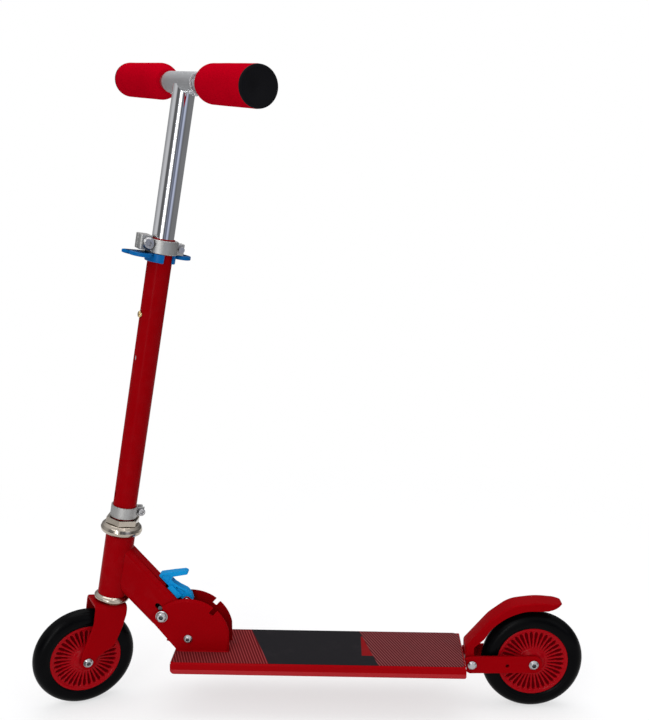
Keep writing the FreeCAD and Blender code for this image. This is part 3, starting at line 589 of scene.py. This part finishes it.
def socketed(node, reach):
    """A bolt whose socket, within reach of its axis, is painted dark as painted shade in the hollow."""
    margin, deepest = 0.2 * MM, 4 * MM
    bm = copied(node)
    crown = min(vert.co.y for vert in bm.verts)
    rim = [vert.co for vert in bm.verts if vert.co.y < crown + margin]
    middle = sum(rim, Vector()) / len(rim)
    for face in bm.faces:
        away = face.calc_center_median() - middle
        if margin < away.y < deepest and math.hypot(away.x, away.z) < reach * MM:
            face.material_index = 1
    add("soft_" + node, bm, IN_PLACE, [node], bevel=FINE_EDGE, extra=[dark_steel_and_painted_shade])


def build_hardware():
    for node, reach in (("pivot_bolt", 2.5), ("stop_bolt", 3), ("rear_axle_bolt", 3),
                        ("front_axle_bolt", 3)):
        socketed(node, reach)
    for node in ("brake_hinge_bolt", "lower_clamp_screw", "upper_clamp_bolts", "lever_pin"):
        soften(node, FINE_EDGE)
    for node in ("bracket_nuts", "rear_axle_nut", "front_axle_nut", "brake_hinge_nut",
                 "upper_clamp_nuts", "headset_nut"):
        soften(node, 0.4)


# ---- wheels ----


RIBS = 36
RECESS_START, RECESS_END = 17.5, 38.6
RECESS_DEPTH = 3.2
RECESS_HALF_WIDTH = 2.4
TREAD_CENTRE, TREAD_RADIUS = 50.5, 12
GROOVE_RADIUS, SEAM_RADIUS = 11.8, 11.9


def hub_height(radius, angle, z):
    """Depth of the pointed recesses between the hub's ribs."""
    t = (radius - RECESS_START) / (RECESS_END - RECESS_START)
    if not 0 < t < 1:
        return 0, 0
    half_width = RECESS_HALF_WIDTH * t ** 0.8 * (1 - t ** 10) ** 0.5
    pitch = 2 * math.pi / RIBS
    across = abs((angle / pitch) % 1 - 0.5) * pitch * radius
    inside = min(1, max(0, (half_width - across + 0.3) / 1.3))
    depth = RECESS_DEPTH * inside * inside * (3 - 2 * inside)
    return 0, -math.copysign(depth, z)


def build_wheel(prefix, place):
    half = [(11, 10.9), (11, 11.15), (6.7, 11.2), (6.7, 13), (7.3, 13.6), (9, 13.7), (11, 13.4),
            (12.8, 12.6), (14.2, 11.4), (15.2, 10.3), (16.2, 9.5), (17.2, 9.1)]
    rings = 30
    half += [(18.3 + (39 - 18.3) * index / rings, 8.9 - 0.5 * math.sin(math.pi * index / rings))
             for index in range(rings + 1)]
    half += [(39.6, 9.0), (40.1, 9.6), (40.8, 9.95), (42.6, 9.95), (43.3, 9.8), (43.75, 9.4)]
    profile = half + [(radius, -z) for radius, z in reversed(half)]
    dark_from = 1.3     # painted shade: a recess takes the darker red from this depth on
    bm = bmesh.new()
    lathe(bm, profile, 360, hub_height)
    # painted shade: the deep faces of the recesses take the darker red
    for face in bm.faces:
        where = face.calc_center_median()
        angle = math.atan2(where.y, where.x) % (2 * math.pi)
        if hub_height(where.xy.length, angle, -1)[1] > dark_from:
            face.material_index = 1
    add(prefix + "_hub", bm, place, [prefix + "_wheel_hub"], angle=60, extra=[hub_recess_painted_shade])

    start = math.acos((43.8 - TREAD_CENTRE) / TREAD_RADIUS)
    steps = 40
    section = []
    for index in range(-steps, steps + 1):
        angle = start * index / steps
        radius = TREAD_RADIUS
        if abs(index) in (33, 34):
            radius = GROOVE_RADIUS
        if index == 0:
            radius = SEAM_RADIUS
        section.append((TREAD_CENTRE + radius * math.cos(angle), radius * math.sin(angle)))
    section += [(43.75, 9.2), (43.75, -9.2)]
    bm = bmesh.new()
    lathe(bm, section, 192)
    add(prefix + "_tyre_shown", bm, place, [prefix + "_tyre"], angle=70)

    bm = bmesh.new()
    for side in (-1, 1):
        lathe(bm, [(radius, side * z) for radius, z in (
            (4.1, 4), (10.95, 4), (10.95, 10.8), (10.7, 11), (9.4, 11), (9.2, 10.5), (6.7, 10.5),
            (6.5, 11), (4.3, 11), (4.1, 10.8))], 64)
    add(prefix + "_bearing_pair", bm, place, [prefix + "_bearings"])


# ---- front frame ----


def build_front():
    bm = copied("down_tube")
    # the rear of the lever's opening is closed where no arm passes
    cover = prism([(67, 21.6), (81.2, 21.6), (81.2, 23.46), (67, 23.46)], -8.55, 8.55)
    cover.transform(DOWN)
    absorb(bm, cover)
    add("soft_down_tube", bm, IN_PLACE, ["down_tube"], bevel=0.7)
    soften("hinge_knuckle", 0.6)
    soften("head_tube", 0.5)
    soften("lever_bracket", 0.3)
    soften("fork", 1.2, 3)
    soften("steering_tube", 0.25)
    refinished("lower_clamp_band", cast_metal, 0.3)
    refinished("upper_clamp_left", cast_metal, 0.8, 3)
    refinished("upper_clamp_right", cast_metal, 0.8, 3)
    # painted shade: the clip takes the darker copy of the blue plastic
    refinished("handle_clip", clip_blue_painted_shade, 0.9, 3)
    refinished("lock_pin", dark_steel_and_painted_shade, 0.3)


def prism(corners, low, high, steps=6):
    """A slab in the down tube's side plane; corners are (along, out of the top, radius)."""
    bm = bmesh.new()
    flat = rounded([(x, z, *radius) for x, z, *radius in corners], steps)
    slab(bm, flat, low, high)
    bm.transform(turn(-90, "X"))
    return bm


def build_lever():
    """Moulded lever with a finger tab and a shallow pocket between ribs on each side."""
    half_width, pocket_floor = 5.5, 4.2
    arm_inside, arm_outside = 4.5, 8
    shaded_below = 22   # painted shade: the arms are black inside the tube
    grip = [(81, 24.4, 1), (82.5, 27, 3), (73, 41.8, 30), (65.4, 53, 3), (61.2, 54.6, 2),
            (60, 51.8, 1.8), (69.6, 35.8, 2.2), (67.6, 32.4, 1.6), (62, 32.4, 3), (54.4, 34.4, 8),
            (45, 38, 9), (36.6, 37.2, 6), (29.8, 33.6, 3), (29.8, 25.6, 3), (44, 25.6), (45, 24.4)]
    body = prism(grip, -half_width, half_width, 8)
    under_tab = [(78.6, 26, 1), (79, 28.4, 1), (74, 34.4, 1.5), (71, 34.4, 1.2), (69, 29.6, 1.5),
                 (66.6, 26, 1)]
    belly = [(61, 29.4, 1), (55, 31.2, 3), (45.4, 34.8, 3), (42.2, 33.4, 1.2), (43.4, 29.4, 1)]
    cutters = [prism(pocket, *span) for pocket in (under_tab, belly)
               for span in ((-7, -pocket_floor), (pocket_floor, 7))]
    cutters.append(prism([(40, -12), (66, -12), (66, 24), (40, 24)], -arm_inside, arm_inside))
    cutters.append(prism([(31.4, 24.9, 4.5), (40.6, 24.9, 4.5), (40.6, 34.1, 4.5),
                          (31.4, 34.1, 4.5)], -pocket_floor, pocket_floor))
    bm = carved(body, cutters)
    arms = [(44.5, 29), (46.4, 8), (46.4, -9.8, 2), (55.8, -9.8, 3), (64, 26), (63, 29)]
    slot = [(47.8, -8.65, 3.1), (54.2, -8.65, 3.1), (54.2, 3.2, 3.1), (47.8, 3.2, 3.1)]
    for low, high in ((-arm_outside, -arm_inside), (arm_inside, arm_outside)):
        arm = carved(prism(arms, low, high), [prism(slot, low - 1, high + 1)])
        # a prism's way out of the tube is its own -Z
        bmesh.ops.bisect_plane(arm, geom=[*arm.verts, *arm.edges, *arm.faces],
                               plane_co=(0, 0, -shaded_below), plane_no=(0, 0, 1))
        # painted shade: the arm faces inside the tube take the black plastic finish
        for face in arm.faces:
            face.material_index = int(face.calc_center_median().z > -shaded_below)
        absorb(bm, arm)
    add("lever_moulding", bm, DOWN, ["latch_lever"], bevel=0.4, segments=3,
        extra=[MATERIALS["black_plastic"]])


# ---- handlebar ----


def rod(radius, length, place, segments):
    """A closed cylinder about its frame's Z, centred."""
    bm = bmesh.new()
    bmesh.ops.create_cone(bm, cap_ends=True, segments=segments, radius1=radius, radius2=radius,
                          depth=length, matrix=place)
    return bm


def build_bar():
    riser_bore, riser_radius = 11, 12.5
    riser_foot, riser_top = 345, 690.2
    bm = bmesh.new()
    lathe(bm, [(riser_bore, riser_foot), (riser_radius, riser_foot), (riser_radius, riser_top),
               (riser_bore, riser_top)], 160)
    saddle = rod(11.75, 60, shift(0, 0, BAR_HEIGHT) @ turn(90, "X"), 96)
    hole = rod(4.3, 30, shift(-15, 0, 433) @ turn(90, "Y"), 48)
    add("riser", carved(bm, [saddle, hole]), STEERING, ["riser_tube"])
    soften("bar_sleeve", 0.4)
    for name, side, start in (("left", 1, 67), ("right", -1, 58)):
        place = BAR @ turn(90 * side, "X")
        refinished("handle_tube_" + name, satin_metal, 0.3)

        def swell(radius, angle, z, side=side):
            """Slight unevenness of the foam, outside its bore."""
            if radius < 12:
                return 0, 0
            lump = noise.noise(Vector((math.cos(angle) * 2.2, math.sin(angle) * 2.2,
                                       z * 0.035 + side * 9)))
            return 0.12 * lump - 0.12, 0

        outline = [(9.5, start), (12.3, start), (13.4, start + 0.4), (14.3, start + 1.2)]
        outline += [(14.9 + 5.6 * math.sin(math.pi / 2 * t) ** 0.9, start + 2 + 19 * t)
                    for t in (index / 24 for index in range(25))]
        outline += [(20.5, start + 22 + (172 - start) * index / 40) for index in range(41)]
        outline += [(20.45, 194.6), (20.2, 195.5), (19.7, 195.95), (9.5, 195.95)]
        bm = bmesh.new()
        lathe(bm, outline, 128, swell)
        grip = add("grip_" + name, bm, place, ["foam_grip_" + name], angle=50)

        cap = [(0, 184), (6.6, 184), (7.4, 185), (7.4, 196.1), (19.6, 196.1), (20.1, 196.4),
               (20.2, 196.9), (20.1, 197.6), (19.5, 198.1), (18.6, 198.2), (17.2, 198.2),
               (16.9, 197.8), (16.3, 197.7), (6.2, 197.7), (5.8, 197.4), (0, 197.35)]
        bm = bmesh.new()
        lathe(bm, cap, 96)
        add("cap_" + name, bm, place, ["end_cap_" + name], angle=40)


# ---- brake ----


AXLE = (275, 62.5)


def about_axle(radius, *angles):
    """Corners that round off to an arc about the rear axle, 20 degrees apart, as in the CAD."""
    flare = radius / math.cos(math.radians(10))
    return [(AXLE[0] + flare * math.cos(math.radians(angle)),
             AXLE[1] + flare * math.sin(math.radians(angle)),
             radius * (0.65 if angle in (angles[0], angles[-1]) else 1)) for angle in angles]


def crossings(outline, angle):
    """Nearest and farthest distance at which a ray from the rear axle meets the outline."""
    ahead = Vector((math.cos(angle), math.sin(angle)))
    aside = Vector((-ahead.y, ahead.x))
    found = []
    for first, second in zip(outline, outline[1:] + outline[:1]):
        a, b = first - Vector(AXLE), second - Vector(AXLE)
        above, below = a.dot(aside), b.dot(aside)
        if (above > 0) != (below > 0):
            share = above / (above - below)
            found.append(a.lerp(b, share).dot(ahead))
    found = [reach for reach in found if reach > 0]
    return (min(found), max(found)) if found else None


def build_fender():
    """A pressed channel round the wheel, lofted between its lower edge and its rounded top."""
    half_width, sheet, round_over = 14.6, 1.9, 2.4
    tip_from, tip_length, tip_half_width = 296, 12.5, 2
    outline = rounded([(190.9, 52.3, 8.5), (190.9, 82.6, 4), (220.2, 118, 50), (244.6, 137, 42),
                       (277, 141.7, 90), (306.8, 139.3, 1.1), (308.4, 137, 1), (300.4, 134.3, 8),
                       (289.6, 131, 10), *about_axle(68.2, 100, 120, 140), (213.6, 92.6, 9),
                       (201.6, 81.4, 4), (201.6, 71.5, 3), (207.9, 67, 3), (207.9, 52.3, 8.5)], 16)
    reach = [math.atan2(point.y - AXLE[1], point.x - AXLE[0]) % (2 * math.pi) for point in outline]
    low, high = min(reach) + 0.0006, max(reach) - 0.0006
    count = 150
    bm = bmesh.new()
    rings = []
    for index in range(count + 1):
        # stations crowd together towards both ends
        angle = high + (low - high) * (0.5 - 0.5 * math.cos(math.pi * index / count))
        bottom, top = crossings(outline, angle)
        width = half_width
        past = (AXLE[0] + top * math.cos(angle) - tip_from) / tip_length
        if past > 0:
            width = (tip_half_width
                     + (half_width - tip_half_width) * max(0.0, 1 - past ** 2) ** 0.5)
        corner = min(round_over, (top - bottom) * 0.48, width * 0.6)
        wall = min(sheet, width * 0.4)
        under = max(bottom + 0.02, min(top - round_over, top - corner * 0.55))
        bend = under - 0.6 * (under - bottom)
        section = [(-width, bottom)]
        section += [(-width + corner - corner * math.cos(turned),
                     top - corner + corner * math.sin(turned))
                    for turned in (math.pi / 16 * step for step in range(9))]
        section += [(-across, out) for across, out in reversed(section)]
        section += [(width - wall, bottom), (width - wall, bend), (width - wall, under),
                    (wall - width, under), (wall - width, bend), (wall - width, bottom)]
        rings.append([bm.verts.new((AXLE[0] + out * math.cos(angle), across,
                                    AXLE[1] + out * math.sin(angle)))
                      for across, out in section])
    for first, second in zip(rings, rings[1:]):
        for side in range(len(first)):
            after = (side + 1) % len(first)
            bm.faces.new((first[side], first[after], second[after], second[side]))
    bm.faces.new(rings[0])
    bm.faces.new(list(reversed(rings[-1])))
    bolt = rod(3.06, 40, shift(199.4, 0, 60.8) @ turn(90, "X"), 48)
    add("fender_shell", carved(bm, [bolt]), WORLD, ["brake_fender"], bevel=0.35, angle=40)


build_deck()
build_hardware()
build_wheel("front", FRONT_WHEEL)
build_wheel("rear", REAR_WHEEL)
build_front()
build_lever()
build_bar()
build_fender()


# ---- studio ----


def area(name, place, target, width, height, power):
    lamp = bpy.data.lights.new(name, "AREA")
    lamp.shape = "RECTANGLE"
    lamp.size, lamp.size_y = width, height
    lamp.energy = power
    thing = bpy.data.objects.new(name, lamp)
    bpy.context.scene.collection.objects.link(thing)
    thing.location = place
    thing.rotation_mode = "QUATERNION"
    thing.rotation_quaternion = (Vector(target) - Vector(place)).to_track_quat("-Z", "Y")


def build_lamps():
    middle = (0, 0, 0.35)
    area("key", (-1.4, -2.2, 2.4), middle, 1.4, 1.4, 14)
    area("fill", (2.4, -1.8, 1.6), middle, 1.6, 1.6, 8.5)
    area("top", (0.1, 0.3, 2.8), (0, 0, 0), 2.6, 2.0, 32)
    area("strip", (-0.6, -2.3, 0.75), middle, 0.14, 1.9, 17)


def build_floor():
    """A pale disc that fades to plain white away from the scooter."""
    s = Surface("floor")
    distance = s.node("ShaderNodeVectorMath", {0: s.place},
                      operation="LENGTH").outputs["Value"]
    s.set(Roughness=0.9)
    s.link(Base_Color=s.mix(s.noise(3, 2), (0.86, 0.86, 0.86), (0.88, 0.88, 0.88)))
    glow = s.node("ShaderNodeEmission",
                  {"Color": (1, 1, 1, 1), "Strength": 1.0}).outputs["Emission"]
    far = s.remap(distance, 0.45, 1.1, 0.6, 1.0)
    blend = s.node("ShaderNodeMixShader",
                   {0: far, 1: s.shader.outputs["BSDF"], 2: glow}).outputs["Shader"]
    s.tree.links.new(blend, s.tree.nodes["Material Output"].inputs["Surface"])
    bm = bmesh.new()
    bmesh.ops.create_circle(bm, cap_ends=True, segments=96, radius=1.3)
    mesh = bpy.data.meshes.new("floor")
    bm.to_mesh(mesh)
    bm.free()
    mesh.materials.append(s.material)
    floor = bpy.data.objects.new("floor", mesh)
    bpy.context.scene.collection.objects.link(floor)


# brightness and blueness by direction round the room: 0 and 1 are the front, 0.5 the back
ROOM = ((0.0, 1.25, 0), (0.048, 1.25, 0), (0.084, 0.12, 0), (0.15, 0.12, 0), (0.185, 0.6, 0),
        (0.25, 0.6, 0), (0.3, 0.42, 0), (0.37, 0.34, 0), (0.42, 0.26, 0), (0.5, 0.2, 0),
        (0.76, 0.2, 0), (0.8, 0.14, 0), (0.828, 0.3, 0.4), (0.85, 0.6, 0.5), (0.875, 0.6, 0.5),
        (0.9, 0.2, 0.6), (0.925, 0.2, 0.6), (0.945, 0.32, 0.4), (0.958, 0.07, 0.5),
        (0.974, 0.07, 0), (1.0, 1.25, 0))


def build_world():
    """A room that metal shows in bands, seen as plain white by the camera."""
    world = bpy.data.worlds.new("studio")
    world.use_nodes = True
    bpy.context.scene.world = world
    tree = Tree(world.node_tree)
    nodes, links = tree.tree.nodes, tree.tree.links
    direction = tree.node("ShaderNodeTexCoord").outputs["Generated"]
    split = tree.node("ShaderNodeSeparateXYZ", {"Vector": direction}).outputs
    around = tree.math("ARCTAN2", split["X"], split["Y"])
    bands = tree.node("ShaderNodeValToRGB", {"Fac": tree.remap(around, -math.pi, math.pi)})
    ramp = bands.color_ramp
    for position, _, _ in ROOM[1:-1]:
        ramp.elements.new(position)
    for element, (position, level, blue) in zip(ramp.elements, ROOM):
        element.position = position
        element.color = (level * (1 - 0.3 * blue), level * (1 - 0.16 * blue),
                         level * (1.02 + 0.3 * blue), 1)
    sky = tree.mix(tree.remap(split["Z"], 0.25, 0.75), bands.outputs["Color"], (0.9, 0.9, 0.92))
    links.new(sky, nodes["Background"].inputs["Color"])
    white = tree.node("ShaderNodeBackground", {"Color": (1, 1, 1, 1)}).outputs[0]
    seen = tree.node("ShaderNodeLightPath").outputs["Is Camera Ray"]
    joined = tree.node("ShaderNodeMixShader",
                       {0: seen, 1: nodes["Background"].outputs[0], 2: white}).outputs[0]
    links.new(joined, nodes["World Output"].inputs["Surface"])


def build_camera():
    camera = bpy.data.cameras.new("camera")
    camera.lens = 50.6
    camera.sensor_width = 36
    camera.shift_x = -0.0312
    camera.shift_y = 0.0867
    thing = bpy.data.objects.new("camera", camera)
    bpy.context.scene.collection.objects.link(thing)
    look = turn(0.64, "Z") @ turn(-13.61, "X") @ turn(-0.68, "Y")
    thing.matrix_world = shift(0.0546, -1.16154, 0.64242) @ look @ turn(90, "X")
    bpy.context.scene.camera = thing


build_lamps()
build_floor()
build_world()
build_camera()
bpy.context.scene.view_settings.view_transform = "Standard"
